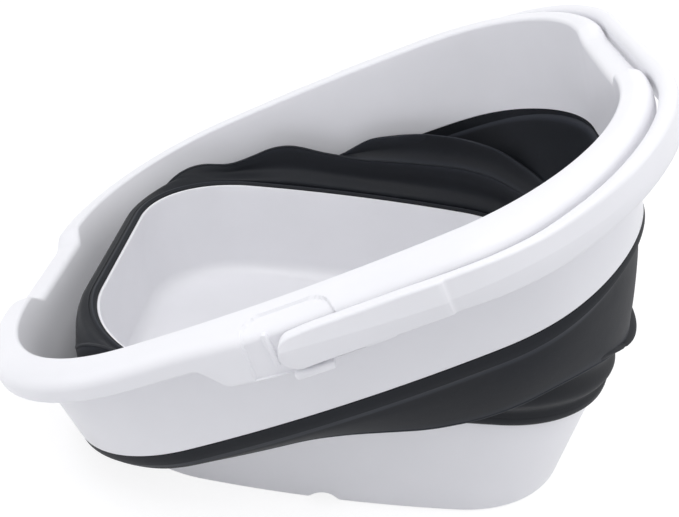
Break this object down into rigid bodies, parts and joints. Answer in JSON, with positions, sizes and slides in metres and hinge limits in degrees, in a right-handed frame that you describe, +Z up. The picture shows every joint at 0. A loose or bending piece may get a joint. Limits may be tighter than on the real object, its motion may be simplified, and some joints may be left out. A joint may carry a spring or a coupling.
{
  "type": "collapsible tub",
  "caption": "Oblong wash and carry tub that folds flat: rigid base and rolled-rim shell joined by a soft folding wall, with a swinging bail handle.",
  "frame": {"origin": "on the floor, under the middle of the whole object's box as it stands half open", "axes": "+Z up, +X along the tub towards the raised end where the handle lies, +Y towards the back"},
  "size_m": [0.3874, 0.409, 0.2665],
  "materials": {
    "white_plastic": "satin moulded polypropylene",
    "charcoal_rubber": "matt thermoplastic rubber"
  },
  "bodies": {
    "base": {"base_tub": "white_plastic", "wall_cap": "charcoal_rubber"},
    "lower_link": {"lower_crease": "charcoal_rubber", "lower_fold": "charcoal_rubber"},
    "upper_link": {"upper_crease": "charcoal_rubber", "middle_fold": "charcoal_rubber"},
    "rim": {"rim_shell": "white_plastic", "shell_collar": "charcoal_rubber", "upper_fold": "charcoal_rubber"},
    "bail": {"handle": "white_plastic"}
  },
  "joints": [
    {"name": "right_end_lift", "type": "hinge", "parent": "base", "child": "lower_link", "pos_m": [-0.13976, 0, 0.0406], "axis": [0, -1, 0], "range_deg": [-15, 0], "deforming": ["lower_fold"]},
    {"name": "left_end_lift", "type": "hinge", "parent": "lower_link", "child": "upper_link", "pos_m": [0.18209, 0, 0.12684], "axis": [0, 1, 0], "range_deg": [0, 30], "deforming": ["middle_fold"]},
    {"name": "right_end_lift_upper", "type": "hinge", "parent": "upper_link", "child": "rim", "pos_m": [-0.13976, 0, 0.0406], "axis": [0, -1, 0], "range_deg": [-15, 0], "deforming": ["upper_fold"]},
    {"name": "handle_swing", "type": "hinge", "parent": "rim", "child": "bail", "pos_m": [-0.0046, 0, 0.1497], "axis": [0, -1, 0], "range_deg": [0, 95]}
  ],
  "couplings": [
    {"joint": "right_end_lift_upper", "follows": "right_end_lift", "ratio": 1}
  ]
}
